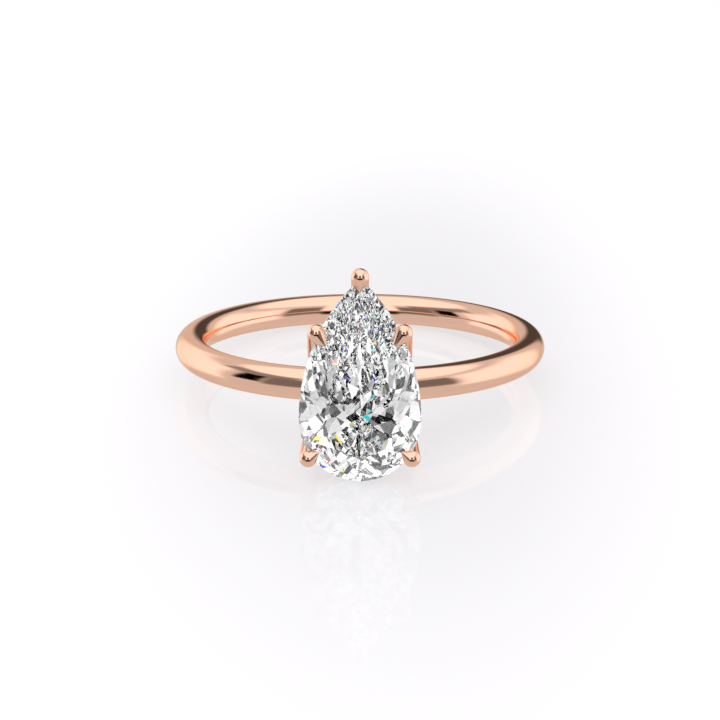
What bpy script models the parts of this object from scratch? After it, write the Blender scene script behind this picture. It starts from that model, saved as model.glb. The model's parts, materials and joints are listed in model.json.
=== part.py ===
"""Pear solitaire engagement ring, lying on its side as it comes to rest on a table.

A round-wire shank carries a five-claw basket head: two gallery rails, five claw prongs, and a bridge
whose peg goes through the shank. The claws hold one pear-shaped brilliant.

Two frames are used. The ring frame has its origin at the middle of the finger hole, +Z along the
finger and -Y out through the head. The head frame is the ring frame turned so that +Z points out
through the stone's table and +Y points to the stone's tip, and every piece of the head is modelled in it.
The ring frame itself leans back by the angle at which the stone's edge and the back of the shank
both touch the surface, which is world Z = 0.
"""

import math
import random

import bmesh
import bpy
from mathutils import Matrix, Vector
from mathutils.geometry import intersect_plane_plane

MM = 0.001

# Shank: a round wire bent to the finger.
BORE_DIAMETER = 17.3 * MM
WIRE_DIAMETER = 1.8 * MM

# Gaps that solder fills between metal pieces, and the slip of the stone in its seats.
SOLDER_GAP = 0.03 * MM
SETTING_GAP = 0.02 * MM

# Stone: a pear outline, widest through its belly, with its girdle this high over the shank.
STONE_WIDTH = 6.18 * MM
BELLY_LENGTH = 3.27 * MM
TIP_LENGTH = 7.18 * MM
BELLY_OFFSET = -0.34 * MM
GIRDLE_RISE = 4.55 * MM
GIRDLE_THICKNESS = 0.3 * MM
CROWN_HEIGHT = 0.85 * MM
PAVILION_DEPTH = 2.75 * MM
TABLE_SHARE = 0.58
STAR_DROP = 0.5
BELLY_CHORDS = 4
WING_CHORDS = 6
CHORD_CUTS = 2

# Pavilion: tiers of small facets against a bowl that steepens towards the girdle. Each tier has the share of the
# way out to the girdle at which its facets touch the bowl, and their number. The cutter's hand slips a little.
PAVILION_TIERS = ((0.93, 18), (0.72, 16), (0.48, 12), (0.22, 8))
BOWL_CURVE = 0.25
BELLY_PART = 0.4
CUTTER_SLIP = math.radians(1.3)
CUTTER_SEED = 4

# Claw prongs: each is a tapered wire with a ball at the girdle and a beak over the crown.
# A claw stands outside the stone's outline and a foot outside the lower rail's.
PRONG_FOOT_RADIUS = 0.40 * MM
FOOT_OUTSET = 0.3 * MM
CLAW_RADIUS = 0.46 * MM
CLAW_OUTSET = 0.15 * MM
CLAW_RISE = 0.33 * MM
BEAK_RADIUS = 0.05 * MM
BEAK_INSET = 0.01 * MM
TIP_BEAK_REACH = 0.85 * MM
SHOULDER_BEAK_REACH = 1.0 * MM
BASE_BEAK_REACH = 0.65 * MM
SHOULDER_BEAK_TURN = math.radians(29)
BEAK_LIFT = 0.05 * MM

# Where the side prongs stand: along the outlines, 0 is the belly's end, 1 the widest place and 2 the tip.
SHOULDER_CLAW_SHARE = 1.57
SHOULDER_FOOT_SHARE = 1.26
BASE_CLAW_SHARE = 0.6
BASE_FOOT_SHARE = 0.72

# Gallery rails: a pear ring high under the girdle, and a smaller one that straddles the shank.
RAIL_WIDTH = 0.75 * MM
RAIL_BEVEL = 0.16 * MM
UPPER_RAIL_INSET = 0.2 * MM
UPPER_RAIL_DROP = 1.65 * MM
UPPER_RAIL_HEIGHT = 0.7 * MM
LOWER_RAIL_HALF_WIDTH = 2.25 * MM
LOWER_RAIL_BELLY = 2.1 * MM
LOWER_RAIL_TIP = 2.5 * MM
LOWER_RAIL_OVERLAP = 0.55 * MM
LOWER_RAIL_RISE = 0.5 * MM

# Bridge across the lower rail, and the peg that pins it to the shank.
BRIDGE_WIDTH = 1.0 * MM
BRIDGE_LET_IN = 0.25 * MM
BRIDGE_RISE = 0.5 * MM
PEG_DIAMETER = 0.9 * MM

# How finely round shapes are cut into flats.
SHANK_STEPS = 80
WIRE_SIDES = 20
OUTLINE_STEPS = 12
CLAW_SIDES = 16
BEAK_SIDES = 8
PEG_SIDES = 24

ROSE_GOLD = (0.86, 0.53, 0.40, 1.0)
DIAMOND = (0.95, 0.96, 0.97, 1.0)

# A facet whose normal rises more than this belongs to the crown and not to the girdle.
FLAT_ENOUGH = 0.01

BORE_RADIUS = BORE_DIAMETER / 2
WIRE_RADIUS = WIRE_DIAMETER / 2
SHANK_RADIUS = BORE_RADIUS + WIRE_RADIUS
SHANK_TOP = BORE_RADIUS + WIRE_DIAMETER
GIRDLE_RADIUS = SHANK_TOP + GIRDLE_RISE
FOOT_RADIUS = SHANK_TOP - LOWER_RAIL_OVERLAP


def clear_scene():
    for obj in list(bpy.data.objects):
        bpy.data.objects.remove(obj)


def polished(name, colour, roughness, metallic, transmission=0.0):
    material = bpy.data.materials.new(name)
    material.use_nodes = True
    shader = material.node_tree.nodes["Principled BSDF"]
    shader.inputs["Base Color"].default_value = colour
    shader.inputs["Roughness"].default_value = roughness
    shader.inputs["Metallic"].default_value = metallic
    shader.inputs["Transmission Weight"].default_value = transmission
    material.diffuse_color = colour
    return material


def frame(name, parent=None):
    empty = bpy.data.objects.new(name, None)
    bpy.context.scene.collection.objects.link(empty)
    empty.parent = parent
    return empty


def piece(name, mesh_builder, parent, material=None):
    """A named object in the parent's frame. Without a material it is a cutter, which isn't part of the ring."""
    bm = mesh_builder()
    bmesh.ops.recalc_face_normals(bm, faces=bm.faces)
    mesh = bpy.data.meshes.new(name)
    bm.to_mesh(mesh)
    bm.free()
    obj = bpy.data.objects.new(name, mesh)
    bpy.context.scene.collection.objects.link(obj)
    obj.parent = parent
    if material is None:
        obj.hide_render = True
        obj.display_type = "WIRE"
    else:
        mesh.materials.append(material)
    return obj


def combine(obj, other, operation="DIFFERENCE"):
    modifier = obj.modifiers.new(f"{operation.lower()} {other.name}", "BOOLEAN")
    modifier.operation = operation
    modifier.object = other
    modifier.solver = "EXACT"


def shade_round(obj):
    obj.data.shade_smooth()
    obj.data.set_sharp_from_angle(angle=math.radians(40))


# Shank


def torus(wire_radius):
    """The round wire as a ring round Z: a circle stood at +X and spun a full turn."""
    bm = bmesh.new()
    place = Matrix.Translation((SHANK_RADIUS, 0, 0)) @ Matrix.Rotation(math.radians(90), 4, "X")
    made = bmesh.ops.create_circle(bm, segments=WIRE_SIDES, radius=wire_radius, matrix=place)
    edges = {edge for vert in made["verts"] for edge in vert.link_edges}
    bmesh.ops.spin(
        bm, geom=list(edges), cent=(0, 0, 0), axis=(0, 0, 1), angle=math.tau, steps=SHANK_STEPS, use_merge=True
    )
    return bm


# Stone


class Pear:
    """A pear outline: half an ellipse for the belly, and two arcs that meet at the tip."""

    def __init__(self, half_width, belly, tip, offset=0.0):
        self.half_width = half_width
        self.belly = belly
        self.tip = tip
        self.offset = offset
        self.wing_radius = (tip**2 + half_width**2) / (2 * half_width)
        self.tip_angle = math.asin(tip / self.wing_radius)

    def point(self, share):
        """On the right half, 0 is the belly's end, 1 the widest place and 2 the tip; -share is its mirror."""
        along = abs(share)
        if along <= 1:
            angle = (along - 1) * math.pi / 2
            x, y = self.half_width * math.cos(angle), self.belly * math.sin(angle)
        else:
            angle = (along - 1) * self.tip_angle
            x = self.wing_radius * math.cos(angle) - self.wing_radius + self.half_width
            y = self.wing_radius * math.sin(angle)
        return Vector((math.copysign(x, share), y + self.offset))

    def tangent(self, share):
        along = abs(share)
        if along in (0, 2):
            return Vector((1 - along, 0))
        if along <= 1:
            angle = (along - 1) * math.pi / 2
            x, y = -self.half_width * math.sin(angle), self.belly * math.cos(angle)
        else:
            angle = (along - 1) * self.tip_angle
            x, y = -math.sin(angle), math.cos(angle)
        return Vector((math.copysign(x, x * share) if x else 0, y)).normalized()

    def square(self, share):
        """The direction square to the outline, outwards, at share."""
        along = self.tangent(abs(share))
        return Vector((math.copysign(along.y, share), -along.x))

    def outside(self, share, distance):
        """The place this far outside the outline's point at share."""
        return self.point(share) + distance * self.square(share)

    def towards(self, other, share):
        """The outline that lies this share of the way to another."""
        mine = (self.half_width, self.belly, self.tip, self.offset)
        its = (other.half_width, other.belly, other.tip, other.offset)
        return Pear(*(a + (b - a) * share for a, b in zip(mine, its)))

    def closer(self, distance):
        """The outline this far inside, or outside if the distance is negative."""
        tip_drop = distance / math.sin(self.tip_angle)
        return Pear(self.half_width - distance, self.belly - distance, self.tip - tip_drop, self.offset)

    def loop(self, steps):
        """Points once round the outline, evenly shared between belly and wings."""
        right = [self.point(2 * i / (2 * steps)) for i in range(2 * steps)]
        left = [self.point(-2 * i / (2 * steps)) for i in range(2 * steps, 0, -1)]
        return right + left


STONE_OUTLINE = Pear(STONE_WIDTH / 2, BELLY_LENGTH, TIP_LENGTH, BELLY_OFFSET)
LOWER_RAIL_OUTLINE = Pear(LOWER_RAIL_HALF_WIDTH, LOWER_RAIL_BELLY, LOWER_RAIL_TIP)


def girdle_shares():
    """Where the facets' corners meet the girdle, from the belly up the right side to the tip."""
    belly = [i / BELLY_CHORDS for i in range(BELLY_CHORDS)]
    return belly + [1 + i / WING_CHORDS for i in range(WING_CHORDS + 1)]


def plane_through(a, b, c, inside):
    """A plane as a point and its normal, which points away from a place inside the stone."""
    normal = (b - a).cross(c - a).normalized()
    return a, normal if normal.dot(a - inside) > 0 else -normal


def ridge_at(first, second, height):
    """Where the line that two planes share is at this height."""
    place, along = intersect_plane_plane(*first, *second)
    return place + along * ((height - place.z) / along.z)


def stone_planes():
    """Every facet of the stone as a plane: table, crown, girdle and the pavilion's tiers. Its girdle is round z = 0."""
    shares = girdle_shares()
    shares = shares + [-share for share in reversed(shares[1:-1])]
    count = len(shares)
    top = GIRDLE_THICKNESS / 2
    belly_centre = Vector((0, BELLY_OFFSET))
    inside = belly_centre.to_3d()
    table_z = top + CROWN_HEIGHT
    planes = [(Vector((0, 0, table_z)), Vector((0, 0, 1)))]

    def girdle_point(index):
        return Vector((*STONE_OUTLINE.point(shares[index % count]), top))

    def table_corner(index):
        corner = belly_centre.lerp(STONE_OUTLINE.point(shares[index % count]), TABLE_SHARE)
        return Vector((*corner, table_z))

    def main(index):
        at = girdle_point(index)
        along = STONE_OUTLINE.tangent(shares[index % count]).to_3d()
        return plane_through(at, at + along * MM, table_corner(index), inside)

    for index in range(0, count, 2):
        planes.append(main(index))
        high = ridge_at(main(index), main(index + 2), top + CROWN_HEIGHT * (1 - STAR_DROP))
        planes.append(plane_through(table_corner(index), table_corner(index + 2), high, inside))
        for start in (index, index + 1):
            planes.append(plane_through(girdle_point(start), girdle_point(start + 1), high, inside))
            planes += girdle_flats(shares[start % count], shares[(start + 1) % count], inside)
    return planes + pavilion_planes()


def pavilion_planes():
    """The pavilion's facets. Each lies flat against the bowl, but for the slip of the cutter's hand."""
    hand = random.Random(CUTTER_SEED)
    centre = Vector((0, BELLY_OFFSET))
    planes = []
    for tier, (reach, facets) in enumerate(PAVILION_TIERS):
        fall = 1 - (1 - BOWL_CURVE) * reach - BOWL_CURVE * reach**2
        steepness = (1 - BOWL_CURVE) + 2 * BOWL_CURVE * reach
        for index in range(facets):
            share = even_share((index + tier % 2 / 2) / facets)
            square = STONE_OUTLINE.square(share)
            edge = STONE_OUTLINE.point(share) - centre
            slope = PAVILION_DEPTH * steepness / edge.dot(square)
            normal = Vector((*(square * slope), -1)).normalized()
            for axis in ("X", "Y"):
                normal.rotate(Matrix.Rotation(hand.uniform(-CUTTER_SLIP, CUTTER_SLIP), 3, axis))
            at = centre + edge * reach
            planes.append((Vector((*at, -GIRDLE_THICKNESS / 2 - PAVILION_DEPTH * fall)), normal))
    return planes


def even_share(turn):
    """The outline's share at this part of a full turn, with more of the turn for the wings than for the belly."""
    along = 1 - abs(1 - 2 * turn)
    share = along / BELLY_PART if along < BELLY_PART else 1 + (along - BELLY_PART) / (1 - BELLY_PART)
    return math.copysign(share, 0.5 - turn)


def girdle_flats(start, end, inside):
    """The upright flats that follow the outline between two facet corners."""
    if min(start, end) < 0:
        start, end = -abs(start), -abs(end)
    step = (end - start) / CHORD_CUTS
    corners = [STONE_OUTLINE.point(start + step * i).to_3d() for i in range(CHORD_CUTS + 1)]
    up = Vector((0, 0, MM))
    return [plane_through(a, b, a + up, inside) for a, b in zip(corners, corners[1:])]


def cut_stone(grow=0.0):
    """The stone as a cutter makes it: a block, then one flat cut for each facet. Grown, it is the seats' cutter."""
    bm = bmesh.new()
    bmesh.ops.create_cube(bm, size=4 * TIP_LENGTH)
    for place, normal in stone_planes():
        everything = bm.verts[:] + bm.edges[:] + bm.faces[:]
        made = bmesh.ops.bisect_plane(
            bm, geom=everything, dist=1e-9, plane_co=place + normal * grow, plane_no=normal, clear_outer=True
        )
        rim = [item for item in made["geom_cut"] if isinstance(item, bmesh.types.BMEdge)]
        bmesh.ops.edgeloop_fill(bm, edges=rim)
    bmesh.ops.translate(bm, verts=bm.verts, vec=(0, 0, GIRDLE_RADIUS))
    return bm


def crown_rise(place):
    """How high the crown stands over the girdle's middle at this place."""
    facets = [(point, normal) for point, normal in stone_planes() if normal.z > FLAT_ENOUGH]
    return min(point.z - (place - point.xy).dot(normal.xy) / normal.z for point, normal in facets)


# Head


def add_ball(bm, place, radius, sides):
    bmesh.ops.create_uvsphere(
        bm, u_segments=sides, v_segments=sides // 2, radius=radius, matrix=Matrix.Translation(place)
    )


def wrap(bm):
    """Turns these shapes into the one solid that a skin pulled tight round them would enclose."""
    bmesh.ops.delete(bm, geom=bm.edges[:], context="EDGES_FACES")
    made = bmesh.ops.convex_hull(bm, input=bm.verts)
    inner = [item for item in made["geom_interior"] if isinstance(item, bmesh.types.BMVert)]
    bmesh.ops.delete(bm, geom=inner, context="VERTS")
    return bm


def prong_shaft(claw, foot, grow):
    """The wire of a prong, from the ball of its claw down to a foot cut flush with the lower rail."""
    bm = bmesh.new()
    add_ball(bm, claw, CLAW_RADIUS + grow, CLAW_SIDES)
    foot_place = Matrix.Translation(foot - Vector((0, 0, grow)))
    bmesh.ops.create_circle(bm, segments=CLAW_SIDES, radius=PRONG_FOOT_RADIUS + grow, matrix=foot_place)
    return wrap(bm)


def beak(claw, tip):
    """The claw's beak, from inside its ball to a fine end that rests on the crown."""
    bm = bmesh.new()
    add_ball(bm, claw, CLAW_RADIUS - BEAK_INSET, CLAW_SIDES)
    add_ball(bm, tip, BEAK_RADIUS, BEAK_SIDES)
    return wrap(bm)


def prong_places(share, foot_share, reach, turn):
    """A prong's claw, the end of its beak and its foot. The beak turns from square to the girdle to the belly."""
    claw = STONE_OUTLINE.outside(share, CLAW_OUTSET)
    inward = (STONE_OUTLINE.point(share) - claw).normalized()
    inward.rotate(Matrix.Rotation(math.copysign(turn, share), 2))
    tip = claw + inward * reach
    foot = LOWER_RAIL_OUTLINE.outside(foot_share, FOOT_OUTSET)
    return (
        Vector((*claw, GIRDLE_RADIUS + CLAW_RISE)),
        Vector((*tip, GIRDLE_RADIUS + crown_rise(tip) + BEAK_LIFT)),
        Vector((*foot, FOOT_RADIUS)),
    )


def prongs():
    """Each prong's name with the places of its claw, beak and foot."""
    found = {"prong_tip": prong_places(2, 2, TIP_BEAK_REACH, 0)}
    for side, word in ((-1, "left"), (1, "right")):
        shoulder = (side * SHOULDER_CLAW_SHARE, side * SHOULDER_FOOT_SHARE)
        base = (side * BASE_CLAW_SHARE, side * BASE_FOOT_SHARE)
        found[f"prong_shoulder_{word}"] = prong_places(*shoulder, SHOULDER_BEAK_REACH, SHOULDER_BEAK_TURN)
        found[f"prong_base_{word}"] = prong_places(*base, BASE_BEAK_REACH, 0)
    return found


def rail(outline, low, high):
    """A flat ring that follows an outline, with its long edges rounded over."""
    bm = bmesh.new()
    outer, inner = outline.closer(-RAIL_WIDTH / 2), outline.closer(RAIL_WIDTH / 2)
    rims = []
    for edge in (outer, inner):
        verts = [bm.verts.new((*point, low)) for point in edge.loop(OUTLINE_STEPS)]
        rims += [bm.edges.new(pair) for pair in zip(verts, verts[1:] + verts[:1])]
    made = bmesh.ops.bridge_loops(bm, edges=rims)
    raised = bmesh.ops.extrude_face_region(bm, geom=made["faces"])
    tops = [item for item in raised["geom"] if isinstance(item, bmesh.types.BMVert)]
    bmesh.ops.translate(bm, verts=tops, vec=(0, 0, high - low))
    bm.normal_update()
    long_edges = [edge for edge in bm.edges if is_long_edge(edge)]
    bmesh.ops.bevel(
        bm, geom=long_edges, offset=RAIL_BEVEL, segments=2, profile=0.5, affect="EDGES", material=-1
    )
    return bm


def is_long_edge(edge):
    """True for the edges between a rail's flat ends and its walls."""
    rises = sorted(abs(face.normal.z) for face in edge.link_faces)
    return len(rises) == 2 and rises[0] < 0.5 < rises[1]


def lower_rail_ring():
    return rail(LOWER_RAIL_OUTLINE, FOOT_RADIUS, SHANK_TOP + LOWER_RAIL_RISE)


def upper_rail_ring():
    """The rail that ties the prongs together where they have spread part of the way to the girdle."""
    middle = GIRDLE_RADIUS - UPPER_RAIL_DROP
    spread = (middle - FOOT_RADIUS) / (GIRDLE_RADIUS + CLAW_RISE - FOOT_RADIUS)
    outline = LOWER_RAIL_OUTLINE.towards(STONE_OUTLINE, spread).closer(UPPER_RAIL_INSET)
    return rail(outline, middle - UPPER_RAIL_HEIGHT / 2, middle + UPPER_RAIL_HEIGHT / 2)


def box(low, high):
    bm = bmesh.new()
    low, high = Vector(low), Vector(high)
    place = Matrix.Translation((low + high) / 2) @ Matrix.Diagonal((*(high - low), 1))
    bmesh.ops.create_cube(bm, size=1, matrix=place)
    return bm


def bridge_bar(grow):
    reach = LOWER_RAIL_HALF_WIDTH - RAIL_WIDTH / 2 + BRIDGE_LET_IN + grow
    side = BRIDGE_WIDTH / 2 + grow
    return box((-reach, -side, FOOT_RADIUS), (reach, side, SHANK_TOP + BRIDGE_RISE + grow))


def peg_post(grow):
    """The peg, flush with the bridge's top and a solder gap short of the finger hole; grown, it runs past both."""
    low = BORE_RADIUS + SOLDER_GAP if not grow else BORE_RADIUS - WIRE_RADIUS
    high = SHANK_TOP + BRIDGE_RISE + (WIRE_RADIUS if grow else 0)
    bm = bmesh.new()
    bmesh.ops.create_cone(
        bm,
        cap_ends=True,
        segments=PEG_SIDES,
        radius1=PEG_DIAMETER / 2 + grow,
        radius2=PEG_DIAMETER / 2 + grow,
        depth=high - low,
        matrix=Matrix.Translation((0, 0, (low + high) / 2)),
    )
    return bm


# Assembly


def build_head(head, ring, gold, diamond):
    stone = piece("centre_stone", cut_stone, head, diamond)
    seat_cutter = piece("seat_cutter", lambda: cut_stone(SETTING_GAP), head)
    shank_cutter = piece("shank_cutter", lambda: torus(WIRE_RADIUS + SOLDER_GAP), ring)

    upper_rail = piece("upper_gallery_rail", upper_rail_ring, head, gold)
    lower_rail = piece("lower_gallery_rail", lower_rail_ring, head, gold)
    combine(lower_rail, shank_cutter)

    for name, (claw, beak_end, foot) in prongs().items():
        prong = piece(name, lambda: prong_shaft(claw, foot, 0.0), head, gold)
        combine(prong, piece(f"{name}_beak", lambda: beak(claw, beak_end), head), "UNION")
        combine(prong, seat_cutter)
        combine(prong, shank_cutter)
        shade_round(prong)
        notch = piece(f"{name}_notch", lambda: prong_shaft(claw, foot, SOLDER_GAP), head)
        combine(upper_rail, notch)
        combine(lower_rail, notch)

    bridge = piece("head_bridge", lambda: bridge_bar(0.0), head, gold)
    combine(bridge, shank_cutter)
    combine(lower_rail, piece("bridge_notch", lambda: bridge_bar(SOLDER_GAP), head))
    peg = piece("head_peg", lambda: peg_post(0.0), head, gold)
    peg_hole = piece("peg_hole", lambda: peg_post(SOLDER_GAP), head)
    combine(bridge, peg_hole)
    for obj in (upper_rail, lower_rail, peg):
        shade_round(obj)
    return stone, peg_hole


def resting_lean():
    """How far the finger axis leans when the stone's belly and the back of the shank touch the surface."""
    reach = GIRDLE_RADIUS - GIRDLE_THICKNESS / 2 + SHANK_RADIUS
    drop = BELLY_LENGTH - BELLY_OFFSET
    return math.atan2(drop, reach) - math.asin(WIRE_RADIUS / math.hypot(reach, drop))


def settle(ring):
    """Moves the whole ring so that it rests on Z = 0 with its outline centred on the origin."""
    bpy.context.view_layer.update()
    graph = bpy.context.evaluated_depsgraph_get()
    points = []
    for obj in bpy.data.objects:
        if obj.type == "MESH" and not obj.hide_render:
            shown = obj.evaluated_get(graph)
            points += [shown.matrix_world @ vert.co for vert in shown.data.vertices]
    low = Vector(min(point[axis] for point in points) for axis in range(3))
    high = Vector(max(point[axis] for point in points) for axis in range(3))
    ring.location -= Vector(((low.x + high.x) / 2, (low.y + high.y) / 2, low.z))


def main():
    clear_scene()
    gold = polished("rose_gold", ROSE_GOLD, 0.12, 1.0)
    diamond = polished("diamond", DIAMOND, 0.0, 0.0, 1.0)
    ring = frame("ring_frame")
    ring.rotation_euler = (-resting_lean(), 0, 0)
    head = frame("head_frame", ring)
    head.rotation_euler = (math.radians(90), 0, 0)

    shank = piece("shank", lambda: torus(WIRE_RADIUS), ring, gold)
    shade_round(shank)
    _, peg_hole = build_head(head, ring, gold, diamond)
    combine(shank, peg_hole)
    settle(ring)


main()
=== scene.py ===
"""Looks of a pear solitaire ring: polished rose gold, a claw basket and a brilliant with many small facets.

Every piece is modelled in the head frame or the ring frame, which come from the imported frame, and then
moved into place. The head frame has +Z out through the stone's table and +Y towards the stone's tip. The
ring frame has +Z along the finger and -Y out through the head.
"""

import json
import math
import random

import bmesh
import bpy
from bpy.props import FloatProperty, FloatVectorProperty, PointerProperty
from mathutils import Matrix, Vector
from mathutils.geometry import intersect_plane_plane


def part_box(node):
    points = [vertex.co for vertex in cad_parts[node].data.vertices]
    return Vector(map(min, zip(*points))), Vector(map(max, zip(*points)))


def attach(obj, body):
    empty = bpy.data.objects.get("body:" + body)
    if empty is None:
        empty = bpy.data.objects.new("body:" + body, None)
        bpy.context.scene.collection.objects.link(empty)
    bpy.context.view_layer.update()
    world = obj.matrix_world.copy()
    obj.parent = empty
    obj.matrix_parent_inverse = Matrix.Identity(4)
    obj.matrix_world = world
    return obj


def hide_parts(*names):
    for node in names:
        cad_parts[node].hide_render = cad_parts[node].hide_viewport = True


bl_info = {
    "name": "Pear Solitaire Ring",
    "version": (1, 0, 0),
    "blender": (4, 5, 0),
    "location": "View3D > Sidebar > Ring",
    "description": "Builds the polished pieces of a pear solitaire ring round its packed frame",
    "category": "Object",
}

MM = 0.001

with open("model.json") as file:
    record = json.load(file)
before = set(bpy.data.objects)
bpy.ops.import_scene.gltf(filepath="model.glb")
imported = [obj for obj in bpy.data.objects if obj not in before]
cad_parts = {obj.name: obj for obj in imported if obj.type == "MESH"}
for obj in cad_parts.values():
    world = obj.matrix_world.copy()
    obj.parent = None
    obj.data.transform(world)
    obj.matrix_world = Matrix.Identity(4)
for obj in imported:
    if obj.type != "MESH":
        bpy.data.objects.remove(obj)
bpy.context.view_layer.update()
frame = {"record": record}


def ring_frame():
    """The ring frame in the row's frame: its origin is the middle of the finger hole."""
    low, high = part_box("shank")
    table = next(mount for mount in frame["record"]["mounts"] if mount["name"] == "stone_table")
    out = Vector(table["axis"])
    lean = math.atan2(out.z, -out.y)
    return Matrix.Translation((low + high) / 2) @ Matrix.Rotation(-lean, 4, "X")


RING = ring_frame()
HEAD = RING @ Matrix.Rotation(math.radians(90), 4, "X")


class RingSizes(bpy.types.PropertyGroup):
    bore: FloatProperty(
        name="Finger hole", description="Diameter of the finger hole", default=17.3 * MM, unit="LENGTH"
    )
    wire: FloatProperty(
        name="Wire", description="Diameter of the shank's round wire", default=1.8 * MM, unit="LENGTH"
    )
    polish: FloatProperty(
        name="Polish", description="How much polishing takes off the wire", default=0.016 * MM, unit="LENGTH"
    )
    seam: FloatProperty(
        name="Seam",
        description="Width of the fine seam at a soldered joint",
        default=0.006 * MM,
        unit="LENGTH",
    )
    rail_width: FloatProperty(
        name="Rail width", description="Width of both gallery rails", default=0.75 * MM, unit="LENGTH"
    )
    claw: FloatProperty(
        name="Claw", description="Radius of a claw's ball", default=0.447 * MM, unit="LENGTH"
    )
    foot: FloatProperty(
        name="Prong foot", description="Radius of a prong at its foot", default=0.39 * MM, unit="LENGTH"
    )
    stone_width: FloatProperty(
        name="Stone width", description="Width of the stone at its widest", default=6.18 * MM, unit="LENGTH"
    )
    stone_belly: FloatProperty(
        name="Stone belly",
        description="From the widest place to the rounded end",
        default=3.269 * MM,
        unit="LENGTH",
    )
    stone_tip: FloatProperty(
        name="Stone tip", description="From the widest place to the point", default=7.18 * MM, unit="LENGTH"
    )
    crown: FloatProperty(
        name="Crown height", description="From the girdle to the table", default=0.85 * MM, unit="LENGTH"
    )
    pavilion: FloatProperty(
        name="Pavilion depth", description="From the girdle to the culet", default=2.75 * MM, unit="LENGTH"
    )


class RingFinish(bpy.types.PropertyGroup):
    gold: FloatVectorProperty(
        name="Rose gold",
        description="Colour of the polished gold",
        subtype="COLOR",
        size=3,
        min=0.0,
        max=1.0,
        default=(0.95, 0.60, 0.45),
    )
    gold_edge: FloatVectorProperty(
        name="Gold edge",
        description="Tint of the gold seen edge on",
        subtype="COLOR",
        size=3,
        min=0.0,
        max=1.0,
        default=(0.97, 0.78, 0.66),
    )
    gold_roughness: FloatProperty(
        name="Polish roughness", description="Roughness of the polished gold", default=0.08, subtype="FACTOR"
    )
    refraction: FloatProperty(
        name="Stone refraction", description="Refractive index of the stone", default=2.417
    )
    floor: FloatVectorProperty(
        name="Floor",
        description="Colour of the floor",
        subtype="COLOR",
        size=3,
        min=0.0,
        max=1.0,
        default=(0.21, 0.207, 0.213),
    )


# Where things stand in the head frame, from the finger hole's middle out.
BELLY_OFFSET = -0.34 * MM
GIRDLE_RISE = 4.55 * MM
GIRDLE_THICKNESS = 0.3 * MM
TABLE_SHARE = 0.58
RAIL_BEVEL = 0.16 * MM
FOOT_OUTSET = 0.3 * MM
CLAW_OUTSET = 0.15 * MM
CLAW_RISE = 0.33 * MM
BEAK_RADIUS = 0.05 * MM
BEAK_LIFT = 0.05 * MM
BEAK_BLUNTING = 4
TIP_BEAK_REACH = 0.85 * MM
SHOULDER_BEAK_REACH = 1.0 * MM
BASE_BEAK_REACH = 0.65 * MM
SHOULDER_BEAK_TURN = math.radians(29)
SHOULDER_SHARES = (1.57, 1.26)
BASE_SHARES = (0.6, 0.72)
UPPER_RAIL_INSET = 0.2 * MM
UPPER_RAIL_DROP = 1.65 * MM
UPPER_RAIL_HEIGHT = 0.7 * MM
LOWER_RAIL = (2.25 * MM, 2.1 * MM, 2.5 * MM)
LOWER_RAIL_OVERLAP = 0.55 * MM
LOWER_RAIL_RISE = 0.5 * MM
BRIDGE_WIDTH = 1.0 * MM
BRIDGE_LET_IN = 0.25 * MM
BRIDGE_RISE = 0.5 * MM
PEG_RADIUS = 0.45 * MM
SOLDER_GAP = 0.03 * MM

# How finely the round shapes are turned.
PRONG_SIDES = 48
PRONG_STEPS = 40
RAIL_STEPS = 48
RAIL_BEVEL_STEPS = 5
PEG_SIDES = 64


def sizes():
    return bpy.context.scene.ring_sizes


def shank_top():
    return sizes().bore / 2 + sizes().wire


def polished_wire():
    """The wire's radius once it is polished."""
    return sizes().wire / 2 - sizes().polish


def girdle_height():
    return shank_top() + GIRDLE_RISE


def foot_height():
    return shank_top() - LOWER_RAIL_OVERLAP


# Finishes


def link(tree, start, end):
    tree.links.new(start, end)


def noise(tree, place, scale, detail):
    """A soft noise in the piece's own coordinates."""
    node = tree.nodes.new("ShaderNodeTexNoise")
    node.inputs["Scale"].default_value = scale
    node.inputs["Detail"].default_value = detail
    link(tree, place.outputs["Object"], node.inputs["Vector"])
    return node.outputs["Fac"]


def spread(tree, value, source, target, smooth=False):
    """A value spread from one range over another, each given as its two ends."""
    node = tree.nodes.new("ShaderNodeMapRange")
    if smooth:
        node.interpolation_type = "SMOOTHSTEP"
    link(tree, value, node.inputs["Value"])
    for ends, word in ((source, "From"), (target, "To")):
        node.inputs[f"{word} Min"].default_value, node.inputs[f"{word} Max"].default_value = ends
    return node.outputs["Result"]


# The gold's patches of tone, its finer rubbed patches and the buff's wave.
TONE_SCALE = 260.0
TONE_DETAIL = 2.0
TONE_SHADE = (0.985, 0.97, 0.96)
RUB_SCALE = 1500.0
RUB_DETAIL = 4.0
RUB_RANGE = (0.3, 0.7)
RUB_ROUGHNESS = (0.7, 1.5)
WAVE_SCALE = 420.0
WAVE_DETAIL = 1.0
WAVE_STRENGTH = 0.12
WAVE_DEPTH = 0.05 * MM


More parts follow.
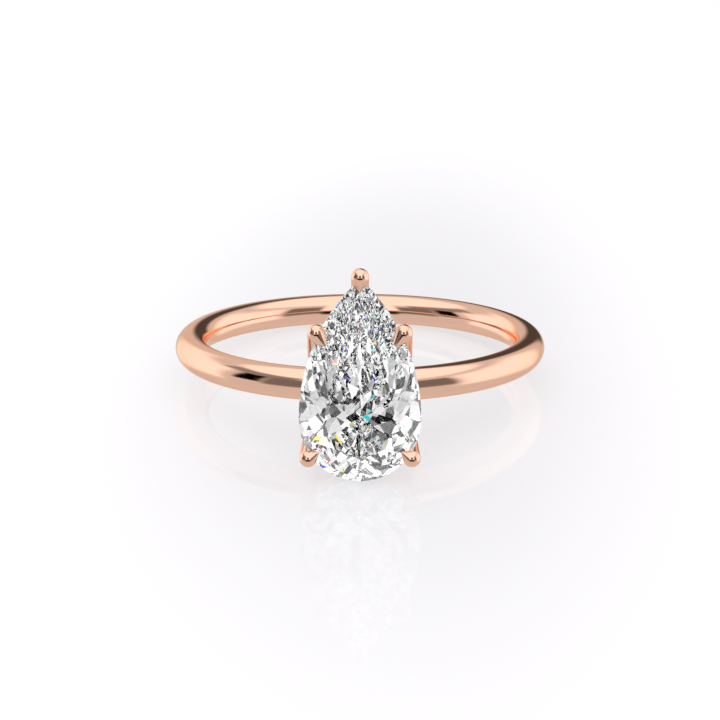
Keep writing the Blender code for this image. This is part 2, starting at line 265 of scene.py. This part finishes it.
def rose_gold():
    """Hand-polished gold: nearly a mirror, with a faint wave left by the buff and finer rubbed patches."""
    material = bpy.data.materials.get("polished_rose_gold")
    if material:
        return material
    finish = bpy.context.scene.ring_finish
    material = bpy.data.materials.new("polished_rose_gold")
    material.use_nodes = True
    tree = material.node_tree
    shader = tree.nodes["Principled BSDF"]
    shader.inputs["Metallic"].default_value = 1.0
    shader.inputs["Specular Tint"].default_value = (*finish.gold_edge, 1.0)
    place = tree.nodes.new("ShaderNodeTexCoord")

    shaded = [part * shade for part, shade in zip(finish.gold, TONE_SHADE)]
    colours = tree.nodes.new("ShaderNodeMix")
    colours.data_type = "RGBA"
    colours.inputs["A"].default_value = (*finish.gold, 1.0)
    colours.inputs["B"].default_value = (*shaded, 1.0)
    link(tree, noise(tree, place, TONE_SCALE, TONE_DETAIL), colours.inputs["Factor"])
    link(tree, colours.outputs["Result"], shader.inputs["Base Color"])

    roughness = [finish.gold_roughness * part for part in RUB_ROUGHNESS]
    rubbed = spread(tree, noise(tree, place, RUB_SCALE, RUB_DETAIL), RUB_RANGE, roughness)
    link(tree, rubbed, shader.inputs["Roughness"])

    bump = tree.nodes.new("ShaderNodeBump")
    bump.inputs["Strength"].default_value = WAVE_STRENGTH
    bump.inputs["Distance"].default_value = WAVE_DEPTH
    link(tree, noise(tree, place, WAVE_SCALE, WAVE_DETAIL), bump.inputs["Height"])
    link(tree, bump.outputs["Normal"], shader.inputs["Normal"])
    return material


def diamond():
    """Clear polished stone."""
    material = bpy.data.materials.get("polished_diamond")
    if material:
        return material
    finish = bpy.context.scene.ring_finish
    material = bpy.data.materials.new("polished_diamond")
    material.use_nodes = True
    shader = material.node_tree.nodes["Principled BSDF"]
    shader.inputs["Base Color"].default_value = (1.0, 1.0, 1.0, 1.0)
    shader.inputs["Roughness"].default_value = 0.0
    shader.inputs["IOR"].default_value = finish.refraction
    shader.inputs["Transmission Weight"].default_value = 1.0
    return material


# Modelling helpers


def finish_piece(name, bm, place, material, nodes, slot, crease=math.radians(35)):
    """Makes a piece of a bmesh: moved into place, recalculated, shaded and tied to the frame.

    The stone doesn't show the gold through its facets, so the gold is hidden from light bent by it.
    """
    obj = solid(name, bm, place)
    obj.data.materials.append(material)
    if crease:
        obj.data.shade_smooth()
        obj.data.set_sharp_from_angle(angle=crease)
    obj.visible_transmission = slot != "rose_gold"
    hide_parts(*nodes)
    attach(obj, "root")
    return obj


def solid(name, bm, place):
    bmesh.ops.transform(bm, matrix=place, verts=bm.verts)
    bmesh.ops.recalc_face_normals(bm, faces=bm.faces)
    mesh = bpy.data.meshes.new(name)
    bm.to_mesh(mesh)
    bm.free()
    obj = bpy.data.objects.new(name, mesh)
    bpy.context.scene.collection.objects.link(obj)
    return obj


def carved(bm, cutters):
    """The bmesh with these solids cut from it. Each is given as a function that makes its bmesh."""
    body = solid("carving", bm, Matrix.Identity(4))
    tools = [solid("cutter", make(), Matrix.Identity(4)) for make in cutters]
    for tool in tools:
        cut = body.modifiers.new("cut", "BOOLEAN")
        cut.operation = "DIFFERENCE"
        cut.solver = "EXACT"
        cut.object = tool
    bpy.context.view_layer.update()
    graph = bpy.context.evaluated_depsgraph_get()
    result = bmesh.new()
    shown = body.evaluated_get(graph)
    result.from_mesh(shown.to_mesh())
    shown.to_mesh_clear()
    for obj in (body, *tools):
        mesh = obj.data
        bpy.data.objects.remove(obj)
        bpy.data.meshes.remove(mesh)
    return result


def torus(wire_radius, steps=320, sides=64):
    """The round wire as a full turn of a circle about the finger's axis, in the ring frame."""
    bm = bmesh.new()
    middle = (sizes().bore + sizes().wire) / 2
    stand = Matrix.Translation((middle, 0, 0)) @ Matrix.Rotation(math.radians(90), 4, "X")
    made = bmesh.ops.create_circle(bm, segments=sides, radius=wire_radius, matrix=stand)
    edges = dict.fromkeys(edge for vert in made["verts"] for edge in vert.link_edges)
    bmesh.ops.spin(
        bm, geom=list(edges), cent=(0, 0, 0), axis=(0, 0, 1), angle=math.tau, steps=steps, use_merge=True
    )
    return bm


def shank_seat():
    """The hollow that takes the shank, in the head frame: the wire with the seam round it."""
    bm = torus(polished_wire() + sizes().seam, steps=160, sides=48)
    bmesh.ops.rotate(bm, cent=(0, 0, 0), matrix=Matrix.Rotation(math.radians(-90), 3, "X"), verts=bm.verts)
    return bm


class Pear:
    """A pear outline: half an ellipse for the belly, and two arcs that meet at the tip."""

    def __init__(self, half_width, belly, tip, offset=0.0):
        self.half_width = half_width
        self.belly = belly
        self.tip = tip
        self.offset = offset
        self.wing_radius = (tip**2 + half_width**2) / (2 * half_width)
        self.tip_angle = math.asin(tip / self.wing_radius)

    def point(self, share):
        """On the right half, 0 is the belly's end, 1 the widest place and 2 the tip; -share is its mirror."""
        along = abs(share)
        if along <= 1:
            angle = (along - 1) * math.pi / 2
            x, y = self.half_width * math.cos(angle), self.belly * math.sin(angle)
        else:
            angle = (along - 1) * self.tip_angle
            x = self.wing_radius * math.cos(angle) - self.wing_radius + self.half_width
            y = self.wing_radius * math.sin(angle)
        return Vector((math.copysign(x, share), y + self.offset))

    def tangent(self, share):
        along = abs(share)
        if along in (0, 2):
            return Vector((1 - along, 0))
        if along <= 1:
            angle = (along - 1) * math.pi / 2
            x, y = -self.half_width * math.sin(angle), self.belly * math.cos(angle)
        else:
            angle = (along - 1) * self.tip_angle
            x, y = -math.sin(angle), math.cos(angle)
        return Vector((math.copysign(x, x * share) if x else 0, y)).normalized()

    def square(self, share):
        """The direction square to the outline, outwards, at share."""
        along = self.tangent(abs(share))
        return Vector((math.copysign(along.y, share), -along.x))

    def outside(self, share, distance):
        """The place this far outside the outline's point at share."""
        return self.point(share) + distance * self.square(share)

    def towards(self, other, share):
        """The outline that lies this share of the way to another."""
        mine = (self.half_width, self.belly, self.tip, self.offset)
        its = (other.half_width, other.belly, other.tip, other.offset)
        return Pear(*(a + (b - a) * share for a, b in zip(mine, its)))

    def closer(self, distance):
        """The outline this far inside, or outside if the distance is negative."""
        tip_drop = distance / math.sin(self.tip_angle)
        return Pear(self.half_width - distance, self.belly - distance, self.tip - tip_drop, self.offset)

    def loop(self, steps):
        """Points once round the outline, evenly shared between belly and wings."""
        right = [self.point(2 * i / (2 * steps)) for i in range(2 * steps)]
        left = [self.point(-2 * i / (2 * steps)) for i in range(2 * steps, 0, -1)]
        return right + left


def stone_outline():
    return Pear(sizes().stone_width / 2, sizes().stone_belly, sizes().stone_tip, BELLY_OFFSET)


def lower_rail_outline():
    return Pear(*LOWER_RAIL)


# Stone. The chords part the girdle between facet corners, and each is cut into shorter flats. Each pavilion
# tier has the share of the way out at which its facets touch the bowl, and their number.

BELLY_CHORDS = 4
WING_CHORDS = 6
CHORD_CUTS = 3
STAR_DROP = 0.5
BELLY_PART = 0.4
BOWL_CURVE = 0.25
PAVILION_TIERS = ((0.93, 18), (0.72, 16), (0.48, 12), (0.22, 8))
CUTTER_SLIP = math.radians(1.3)
CUTTER_SEED = 4
FLAT_ENOUGH = 0.01


def plane_through(a, b, c, inside):
    """A plane as a point and its normal, which points away from a place inside the stone."""
    normal = (b - a).cross(c - a).normalized()
    return a, normal if normal.dot(a - inside) > 0 else -normal


def ridge_at(first, second, height):
    """Where the line that two planes share is at this height."""
    place, along = intersect_plane_plane(*first, *second)
    return place + along * ((height - place.z) / along.z)


def girdle_shares():
    """Where the facets' corners meet the girdle, once round."""
    belly = [i / BELLY_CHORDS for i in range(BELLY_CHORDS)]
    right = belly + [1 + i / WING_CHORDS for i in range(WING_CHORDS + 1)]
    return right + [-share for share in reversed(right[1:-1])]


def stone_planes():
    """Every facet of the stone as a plane, from table to pavilion, with the girdle's middle at z = 0."""
    outline = stone_outline()
    crown = sizes().crown
    shares = girdle_shares()
    count = len(shares)
    top = GIRDLE_THICKNESS / 2
    belly_centre = Vector((0, BELLY_OFFSET))
    inside = belly_centre.to_3d()
    table_z = top + crown
    planes = [(Vector((0, 0, table_z)), Vector((0, 0, 1)))]

    def girdle_point(index, height):
        return Vector((*outline.point(shares[index % count]), height))

    def table_corner(index):
        return Vector((*belly_centre.lerp(outline.point(shares[index % count]), TABLE_SHARE), table_z))

    def main(index, height, apex):
        at = girdle_point(index, height)
        along = outline.tangent(shares[index % count]).to_3d()
        return plane_through(at, at + along * MM, apex, inside)

    for index in range(0, count, 2):
        crown_main = main(index, top, table_corner(index))
        next_crown = main(index + 2, top, table_corner(index + 2))
        planes.append(crown_main)
        high = ridge_at(crown_main, next_crown, top + crown * (1 - STAR_DROP))
        planes.append(plane_through(table_corner(index), table_corner(index + 2), high, inside))
        for start in (index, index + 1):
            corners = girdle_point(start, top), girdle_point(start + 1, top)
            planes.append(plane_through(*corners, high, inside))
            planes += girdle_flats(outline, shares[start % count], shares[(start + 1) % count], inside)
    return planes + pavilion_planes(outline)


def pavilion_planes(outline):
    """The pavilion's facets in tiers, each flat against a bowl that steepens towards the girdle."""
    hand = random.Random(CUTTER_SEED)
    centre = Vector((0, BELLY_OFFSET))
    depth = sizes().pavilion
    planes = []
    for tier, (reach, facets) in enumerate(PAVILION_TIERS):
        fall = 1 - (1 - BOWL_CURVE) * reach - BOWL_CURVE * reach**2
        steepness = (1 - BOWL_CURVE) + 2 * BOWL_CURVE * reach
        for index in range(facets):
            share = even_share((index + tier % 2 / 2) / facets)
            square = outline.square(share)
            edge = outline.point(share) - centre
            slope = depth * steepness / edge.dot(square)
            normal = Vector((*(square * slope), -1)).normalized()
            for axis in ("X", "Y"):
                normal.rotate(Matrix.Rotation(hand.uniform(-CUTTER_SLIP, CUTTER_SLIP), 3, axis))
            at = centre + edge * reach
            planes.append((Vector((*at, -GIRDLE_THICKNESS / 2 - depth * fall)), normal))
    return planes


def even_share(turn):
    """The outline's share at this part of a full turn. The wings get more of the turn than the belly."""
    along = 1 - abs(1 - 2 * turn)
    share = along / BELLY_PART if along < BELLY_PART else 1 + (along - BELLY_PART) / (1 - BELLY_PART)
    return math.copysign(share, 0.5 - turn)


def girdle_flats(outline, start, end, inside):
    """The upright flats that follow the outline between two facet corners."""
    if min(start, end) < 0:
        start, end = -abs(start), -abs(end)
    step = (end - start) / CHORD_CUTS
    corners = [outline.point(start + step * i).to_3d() for i in range(CHORD_CUTS + 1)]
    up = Vector((0, 0, MM))
    return [plane_through(a, b, a + up, inside) for a, b in zip(corners, corners[1:])]


def cut_stone(grow=0.0):
    """The stone, cut from a block by one flat cut for each facet. Grown, it cuts the claws' seats."""
    bm = bmesh.new()
    bmesh.ops.create_cube(bm, size=4 * sizes().stone_tip)
    for place, normal in stone_planes():
        everything = bm.verts[:] + bm.edges[:] + bm.faces[:]
        made = bmesh.ops.bisect_plane(
            bm, geom=everything, dist=1e-9, plane_co=place + normal * grow, plane_no=normal, clear_outer=True
        )
        rim = [item for item in made["geom_cut"] if isinstance(item, bmesh.types.BMEdge)]
        bmesh.ops.edgeloop_fill(bm, edges=rim)
    bmesh.ops.translate(bm, verts=bm.verts, vec=(0, 0, girdle_height()))
    return bm


def crown_rise(place):
    """How high the crown stands over the girdle's middle at this place."""
    facets = [(point, normal) for point, normal in stone_planes() if normal.z > FLAT_ENOUGH]
    return min(point.z - (place - point.xy).dot(normal.xy) / normal.z for point, normal in facets)


# Prongs


def prong_places(share, foot_share, reach, turn):
    """A prong's claw, the end of its beak and its foot. The beak points inwards, turned towards the belly."""
    outline = stone_outline()
    claw = outline.outside(share, CLAW_OUTSET)
    inward = (outline.point(share) - claw).normalized()
    inward.rotate(Matrix.Rotation(math.copysign(turn, share), 2))
    tip = claw + inward * reach
    foot = lower_rail_outline().outside(foot_share, FOOT_OUTSET)
    return (
        Vector((*claw, girdle_height() + CLAW_RISE)),
        Vector((*tip, girdle_height() + crown_rise(tip) + BEAK_LIFT)),
        Vector((*foot, foot_height())),
    )


def prongs():
    """Each prong's name with the places of its claw, beak and foot."""
    found = {"prong_tip": prong_places(2, 2, TIP_BEAK_REACH, 0)}
    for side, word in ((-1, "left"), (1, "right")):
        shoulder = [side * share for share in SHOULDER_SHARES]
        base = [side * share for share in BASE_SHARES]
        found[f"prong_shoulder_{word}"] = prong_places(*shoulder, SHOULDER_BEAK_REACH, SHOULDER_BEAK_TURN)
        found[f"prong_base_{word}"] = prong_places(*base, BASE_BEAK_REACH, 0)
    return found


def prong_wire(claw, foot, grow=0.0):
    """A prong's tapered wire with a ball end. The ball's rim is drawn down to a foot that is cut level."""
    bm = bmesh.new()
    along = (claw - foot).normalized()
    turn = along.to_track_quat("Z", "Y").to_matrix().to_4x4()
    radius = sizes().claw + grow
    bmesh.ops.create_uvsphere(
        bm, u_segments=PRONG_SIDES, v_segments=PRONG_SIDES, radius=radius, matrix=turn
    )
    everything = bm.verts[:] + bm.edges[:] + bm.faces[:]
    made = bmesh.ops.bisect_plane(
        bm, geom=everything, dist=1e-7, plane_co=(0, 0, 0), plane_no=-along, clear_outer=True
    )
    bmesh.ops.translate(bm, verts=bm.verts, vec=claw)
    rim = [item for item in made["geom_cut"] if isinstance(item, bmesh.types.BMEdge)]
    low = foot.z - grow
    taper = sizes().foot + grow - radius
    for step in range(1, PRONG_STEPS + 1):
        share = step / PRONG_STEPS
        share_before = (step - 1) / PRONG_STEPS
        raised = bmesh.ops.extrude_edge_only(bm, edges=rim)
        verts = [item for item in raised["geom"] if isinstance(item, bmesh.types.BMVert)]
        rim = [item for item in raised["geom"] if isinstance(item, bmesh.types.BMEdge)]
        rim = [edge for edge in rim if all(vert in set(verts) for vert in edge.verts)]
        centre = claw.lerp(foot, share)
        before = claw.lerp(foot, share_before)
        wide = radius + taper * share
        wide_before = radius + taper * share_before
        for vert in verts:
            vert.co = centre + (vert.co - before) * wide / wide_before
    for vert in verts:
        vert.co -= along * ((vert.co.z - low) / along.z)
    bmesh.ops.contextual_create(bm, geom=rim)
    bmesh.ops.recalc_face_normals(bm, faces=bm.faces)
    return bm


def draw_beak(bm, claw, tip):
    """Pulls the claw's side out to a beak, as a cone that leaves the ball smoothly and ends at its tip."""
    reach = (tip - claw).length + BEAK_RADIUS
    aim = (tip - claw).normalized()
    slope = math.asin(sizes().claw / reach)
    for vert in bm.verts:
        out = vert.co - claw
        off = aim.angle(out)
        if off < math.pi / 2 - slope:
            cone = sizes().claw / math.sin(slope + off)
            blunt = reach - BEAK_RADIUS * (1 - math.cos(min(off * BEAK_BLUNTING, math.pi / 2)))
            distance = max(out.length, min(cone, blunt))
            vert.co = claw + out.normalized() * distance
    return bm


def rail(outline, low, high):
    """A flat ring that follows an outline, with its long edges rounded over."""
    bm = bmesh.new()
    width = sizes().rail_width
    rims = []
    for edge in (outline.closer(-width / 2), outline.closer(width / 2)):
        verts = [bm.verts.new((*point, low)) for point in edge.loop(RAIL_STEPS)]
        rims += [bm.edges.new(pair) for pair in zip(verts, verts[1:] + verts[:1])]
    made = bmesh.ops.bridge_loops(bm, edges=rims)
    raised = bmesh.ops.extrude_face_region(bm, geom=made["faces"])
    tops = [item for item in raised["geom"] if isinstance(item, bmesh.types.BMVert)]
    bmesh.ops.translate(bm, verts=tops, vec=(0, 0, high - low))
    bmesh.ops.recalc_face_normals(bm, faces=bm.faces)
    bm.normal_update()
    bmesh.ops.bevel(
        bm,
        geom=[edge for edge in bm.edges if is_long_edge(edge)],
        offset=RAIL_BEVEL,
        segments=RAIL_BEVEL_STEPS,
        profile=0.5,
        affect="EDGES",
        material=-1,
    )
    return bm


def is_long_edge(edge):
    """True for the edges between a rail's flat ends and its walls."""
    rises = sorted(abs(face.normal.z) for face in edge.link_faces)
    return len(rises) == 2 and rises[0] < 0.5 < rises[1]


def lower_rail_ring():
    return rail(lower_rail_outline(), foot_height(), shank_top() + LOWER_RAIL_RISE)


def upper_rail_ring():
    """The rail that ties the prongs together where they have spread part of the way to the girdle."""
    middle = girdle_height() - UPPER_RAIL_DROP
    spread = (middle - foot_height()) / (girdle_height() + CLAW_RISE - foot_height())
    outline = lower_rail_outline().towards(stone_outline(), spread).closer(UPPER_RAIL_INSET)
    return rail(outline, middle - UPPER_RAIL_HEIGHT / 2, middle + UPPER_RAIL_HEIGHT / 2)


def bridge_bar(grow=0.0):
    """The square bar across the lower rail; grown, it is the notch that takes it."""
    reach = LOWER_RAIL[0] - sizes().rail_width / 2 + BRIDGE_LET_IN + grow
    side = BRIDGE_WIDTH / 2 + grow
    low = Vector((-reach, -side, foot_height()))
    high = Vector((reach, side, shank_top() + BRIDGE_RISE + grow))
    shape = Matrix.Translation((low + high) / 2) @ Matrix.Diagonal((*(high - low), 1))
    bm = bmesh.new()
    bmesh.ops.create_cube(bm, size=1, matrix=shape)
    return bm


def peg_post(grow=0.0):
    """The peg, flush with the bridge's top and the finger hole; grown, it runs past both."""
    bore = sizes().bore / 2
    low = bore - sizes().wire / 2 if grow else bore + SOLDER_GAP
    high = shank_top() + BRIDGE_RISE + (sizes().wire / 2 if grow else 0)
    bm = bmesh.new()
    bmesh.ops.create_cone(
        bm,
        cap_ends=True,
        segments=PEG_SIDES,
        radius1=PEG_RADIUS + grow,
        radius2=PEG_RADIUS + grow,
        depth=high - low,
        matrix=Matrix.Translation((0, 0, (low + high) / 2)),
    )
    return bm


def turned_peg_hole():
    """The peg's hole as the ring frame sees it."""
    bm = peg_post(sizes().seam)
    bmesh.ops.rotate(bm, cent=(0, 0, 0), matrix=Matrix.Rotation(math.radians(90), 3, "X"), verts=bm.verts)
    return bm


# Operators


class RING_OT_shank(bpy.types.Operator):
    """Builds the round-wire shank, drilled for the head's peg"""

    bl_idname = "ring.shank"
    bl_label = "Shank"

    def execute(self, context):
        wire = torus(polished_wire())
        drilled = carved(wire, [turned_peg_hole])
        finish_piece("shank_wire", drilled, RING, rose_gold(), ["shank"], "rose_gold")
        return {"FINISHED"}


class RING_OT_prongs(bpy.types.Operator):
    """Builds the claw prongs, with their seats cut to the stone"""

    bl_idname = "ring.prongs"
    bl_label = "Claw prongs"

    def execute(self, context):
        for name, (claw, tip, foot) in prongs().items():
            body = draw_beak(prong_wire(claw, foot), claw, tip)
            fitted = carved(body, [lambda: cut_stone(sizes().seam), shank_seat])
            finish_piece(f"{name}_claw", fitted, HEAD, rose_gold(), [name], "rose_gold")
        return {"FINISHED"}


class RING_OT_gallery(bpy.types.Operator):
    """Builds the two gallery rails, notched for the prongs"""

    bl_idname = "ring.gallery"
    bl_label = "Gallery rails"

    def execute(self, context):
        notches = [
            lambda claw=claw, foot=foot: prong_wire(claw, foot, sizes().seam)
            for claw, _tip, foot in prongs().values()
        ]
        upper = carved(upper_rail_ring(), notches)
        finish_piece("upper_rail", upper, HEAD, rose_gold(), ["upper_gallery_rail"], "rose_gold")
        lower = carved(lower_rail_ring(), notches + [shank_seat, lambda: bridge_bar(sizes().seam)])
        finish_piece("lower_rail", lower, HEAD, rose_gold(), ["lower_gallery_rail"], "rose_gold")
        return {"FINISHED"}


class RING_OT_peg(bpy.types.Operator):
    """Builds the bridge across the lower rail and the peg that pins it to the shank"""

    bl_idname = "ring.peg"
    bl_label = "Bridge and peg"

    def execute(self, context):
        bar = carved(bridge_bar(), [shank_seat, lambda: peg_post(sizes().seam)])
        finish_piece("bridge_bar", bar, HEAD, rose_gold(), ["head_bridge"], "rose_gold")
        finish_piece("peg_post", peg_post(), HEAD, rose_gold(), ["head_peg"], "rose_gold")
        return {"FINISHED"}


class RING_OT_stone(bpy.types.Operator):
    """Cuts the pear-shaped stone, facet by facet"""

    bl_idname = "ring.stone"
    bl_label = "Stone"

    def execute(self, context):
        finish_piece("pear_stone", cut_stone(), HEAD, diamond(), ["centre_stone"], "diamond", crease=0)
        return {"FINISHED"}


# Stage

CAMERA_DISTANCE = 130.66 * MM
CAMERA_OVER_RING = math.radians(13.155)
AIM_BELOW = 0.9 * MM
LENS = 115.1
SENSOR_WIDTH = 36.0
CLIP_START = 0.005
CLIP_END = 20.0

# Light crosses the stone many times before it comes out, so it is followed this far.
LIGHT_BOUNCES = 22

# The floor and its painted glow, which thins the shadows on it. The glow is weaker near the ring, as painted
# shade round it, and rises away from it in an oval that is longer towards front and back.
FLOOR_SIZE = 4.0
FLOOR_ROUGHNESS = 0.03
FLOOR_GLOSS = 0.1
SHADE_OVAL_STRETCH = (1.2, 0.42, 1.0)
SHADE_OVAL_SHIFT = (0.0, -3.5 * MM, 0.0)
SHADE_FADE_REACH = (6 * MM, 26 * MM)
PAINTED_GLOW_NEAR_FAR = (0.67, 0.84)
PAINTED_GLOW_COLOUR = (0.995, 0.98, 1.0, 1.0)


def floor_finish():
    """White acrylic with a weak gloss and a painted glow that thins its shadows. The glow is weaker near the
    ring, as painted shade round it, so the floor pales away from the ring.
    """
    material = bpy.data.materials.new("white_floor")
    material.use_nodes = True
    tree = material.node_tree
    shader = tree.nodes["Principled BSDF"]
    shader.inputs["Base Color"].default_value = (*bpy.context.scene.ring_finish.floor, 1.0)
    shader.inputs["Roughness"].default_value = FLOOR_ROUGHNESS
    shader.inputs["Specular IOR Level"].default_value = FLOOR_GLOSS
    shader.inputs["Emission Color"].default_value = PAINTED_GLOW_COLOUR
    place = tree.nodes.new("ShaderNodeTexCoord")
    oval = tree.nodes.new("ShaderNodeVectorMath")
    oval.operation = "MULTIPLY_ADD"
    oval.inputs[1].default_value = SHADE_OVAL_STRETCH
    oval.inputs[2].default_value = SHADE_OVAL_SHIFT
    link(tree, place.outputs["Object"], oval.inputs[0])
    far = tree.nodes.new("ShaderNodeVectorMath")
    far.operation = "LENGTH"
    link(tree, oval.outputs["Vector"], far.inputs[0])
    # Painted shade round the ring: the glow is weaker near it and rises away from it.
    painted_glow = spread(tree, far.outputs["Value"], SHADE_FADE_REACH, PAINTED_GLOW_NEAR_FAR, smooth=True)
    link(tree, painted_glow, shader.inputs["Emission Strength"])
    return material


class RING_OT_stage(bpy.types.Operator):
    """Sets the floor, the soft studio light and the camera"""

    bl_idname = "ring.stage"
    bl_label = "Stage"

    def execute(self, context):
        scene = context.scene
        bm = bmesh.new()
        bmesh.ops.create_grid(bm, x_segments=1, y_segments=1, size=FLOOR_SIZE / 2)
        floor = solid("floor", bm, Matrix.Identity(4))
        floor.data.materials.append(floor_finish())
        # The floor isn't mirrored in the gold or seen through the stone. Panels stand in for it there.
        floor.visible_glossy = False
        floor.visible_transmission = False

        scene.view_settings.view_transform = "Standard"
        scene.cycles.max_bounces = LIGHT_BOUNCES
        scene.cycles.glossy_bounces = LIGHT_BOUNCES
        scene.cycles.transmission_bounces = LIGHT_BOUNCES
        studio_light(scene)

        centre = RING.translation
        turn = RING.to_3x3()
        rise, run = math.sin(CAMERA_OVER_RING), math.cos(CAMERA_OVER_RING)
        out = (turn @ Vector((0, -run, rise))).normalized()
        up = (turn @ Vector((0, rise, run))).normalized()
        camera = bpy.data.objects.new("camera", bpy.data.cameras.new("camera"))
        scene.collection.objects.link(camera)
        camera.location = centre + out * CAMERA_DISTANCE
        aim = centre - up * AIM_BELOW
        camera.rotation_euler = (camera.location - aim).to_track_quat("Z", "Y").to_euler()
        camera.data.lens = LENS
        camera.data.sensor_width = SENSOR_WIDTH
        camera.data.clip_start = CLIP_START
        camera.data.clip_end = CLIP_END
        scene.camera = camera
        return {"FINISHED"}


# Each panel of the studio: its azimuth from the front and half its width, its lowest and highest elevation,
# how bright it is and how soft its edge is, with the angles in degrees. Later ones stand in front.
PANELS = {
    "overhead_box": (0, 180, 46, 100, 1.25, 8),
    "left_gap": (-78, 34, 29, 45, 0.3, 8),
    "front_dark": (0, 62, -15, 33, 0.2, 10),
    "floor_front": (0, 95, -100, -15, 0.72, 20),
    "left_box": (-126, 32, -25, 30, 1.25, 14),
    "right_box": (103, 38, -25, 34, 1.25, 16),
    "rear_gap": (168, 12, -10, 40, 0.08, 10),
    "black_flag": (-73, 10, -5, 30, 0.0, 6),
    "front_card": (0, 30, 2, 47, 1.3, 6),
    "front_black": (0, 30, -22, 2, 0.02, 6),
    "lens": (0, 13, 6, 32, 0.0, 6),
}
SKY_LEVEL = 0.75

# The lamps and black cards that the stone alone sees, and how far its fire parts red from blue.
CARD_SCALE = 2.2
CARD_SHARE = 0.3
CARD_FADE = 0.5
LAMP_LEVEL = 1.5
FIRE = 0.003


def studio_light(scene):
    """The studio round the ring: bright boxes, dark gaps and a black flag, each a soft-edged patch of sky."""
    world = bpy.data.worlds.new("studio")
    scene.world = world
    world.use_nodes = True
    tree = world.node_tree
    place = tree.nodes.new("ShaderNodeTexCoord")
    split = tree.nodes.new("ShaderNodeSeparateXYZ")
    link(tree, place.outputs["Generated"], split.inputs["Vector"])
    front = maths(tree, "MULTIPLY", split.outputs["Y"], -1.0)
    azimuth = maths(tree, "ARCTAN2", split.outputs["X"], front)
    elevation = maths(tree, "ARCSINE", split.outputs["Z"])
    level = SKY_LEVEL
    for name, (middle, half_width, low, high, brightness, softness) in PANELS.items():
        turn = maths(tree, "SUBTRACT", azimuth, math.radians(middle))
        turn = maths(tree, "WRAP", turn, math.pi, -math.pi)
        across = inside(tree, turn, half_width, softness)
        rise = maths(tree, "SUBTRACT", elevation, math.radians((low + high) / 2))
        upright = inside(tree, rise, (high - low) / 2, softness)
        mix = tree.nodes.new("ShaderNodeMix")
        mix.label = name
        link(tree, maths(tree, "MULTIPLY", across, upright), mix.inputs["Factor"])
        feed(tree, level, mix.inputs["A"])
        mix.inputs["B"].default_value = brightness
        level = mix.outputs["Result"]
    path = tree.nodes.new("ShaderNodeLightPath")
    both = tree.nodes.new("ShaderNodeMix")
    both.data_type = "RGBA"
    link(tree, path.outputs["Is Transmission Ray"], both.inputs["Factor"])
    link(tree, level, both.inputs["A"])
    link(tree, sparkle_light(tree, place), both.inputs["B"])
    link(tree, both.outputs["Result"], tree.nodes["Background"].inputs["Color"])


def sparkle_light(tree, place):
    """Lamps and black cards all round, for the stone alone. Red and blue part a little, as its fire does."""
    fire = tree.nodes.new("ShaderNodeCombineColor")
    for channel, shift in (("Red", -FIRE), ("Green", 0.0), ("Blue", FIRE)):
        moved = tree.nodes.new("ShaderNodeVectorMath")
        link(tree, place.outputs["Generated"], moved.inputs[0])
        moved.inputs[1].default_value = (shift, shift, shift)
        cells = tree.nodes.new("ShaderNodeTexVoronoi")
        cells.inputs["Scale"].default_value = CARD_SCALE
        link(tree, moved.outputs["Vector"], cells.inputs["Vector"])
        pick = tree.nodes.new("ShaderNodeSeparateColor")
        link(tree, cells.outputs["Color"], pick.inputs["Color"])
        lamp_share = (CARD_SHARE, CARD_SHARE + CARD_FADE)
        link(tree, spread(tree, pick.outputs["Red"], lamp_share, (0.0, LAMP_LEVEL)), fire.inputs[channel])
    return fire.outputs["Color"]


def feed(tree, value, socket):
    """Puts a number or another node's output into a socket."""
    if isinstance(value, (int, float)):
        socket.default_value = value
    else:
        link(tree, value, socket)


def maths(tree, operation, *values):
    """A sum on numbers or other nodes' outputs."""
    node = tree.nodes.new("ShaderNodeMath")
    node.operation = operation
    for value, socket in zip(values, node.inputs):
        feed(tree, value, socket)
    return node.outputs["Value"]


def inside(tree, offset, half, softness):
    """1 where an angle is within half of its middle, falling to 0 across a soft edge, both in degrees."""
    edge = (math.radians(half - softness / 2), math.radians(half + softness / 2))
    return spread(tree, maths(tree, "ABSOLUTE", offset), edge, (1.0, 0.0), smooth=True)


class RING_PT_panel(bpy.types.Panel):
    """Lists the ring's pieces in the order they are built"""

    bl_idname = "RING_PT_panel"
    bl_label = "Pear solitaire"
    bl_space_type = "VIEW_3D"
    bl_region_type = "UI"
    bl_category = "Ring"

    def draw(self, context):
        for operator in OPERATORS:
            self.layout.operator(operator.bl_idname)
        for group in (context.scene.ring_sizes, context.scene.ring_finish):
            for name in group.__annotations__:
                self.layout.prop(group, name)


OPERATORS = (RING_OT_shank, RING_OT_prongs, RING_OT_gallery, RING_OT_peg, RING_OT_stone, RING_OT_stage)
CLASSES = (RingSizes, RingFinish, *OPERATORS, RING_PT_panel)


def register():
    for cls in CLASSES:
        bpy.utils.register_class(cls)
    bpy.types.Scene.ring_sizes = PointerProperty(type=RingSizes)
    bpy.types.Scene.ring_finish = PointerProperty(type=RingFinish)


def unregister():
    del bpy.types.Scene.ring_finish
    del bpy.types.Scene.ring_sizes
    for cls in reversed(CLASSES):
        bpy.utils.unregister_class(cls)


def main():
    register()
    bpy.ops.ring.shank()
    bpy.ops.ring.prongs()
    bpy.ops.ring.gallery()
    bpy.ops.ring.peg()
    bpy.ops.ring.stone()
    bpy.ops.ring.stage()
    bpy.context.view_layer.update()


if __name__ == "__main__":
    main()
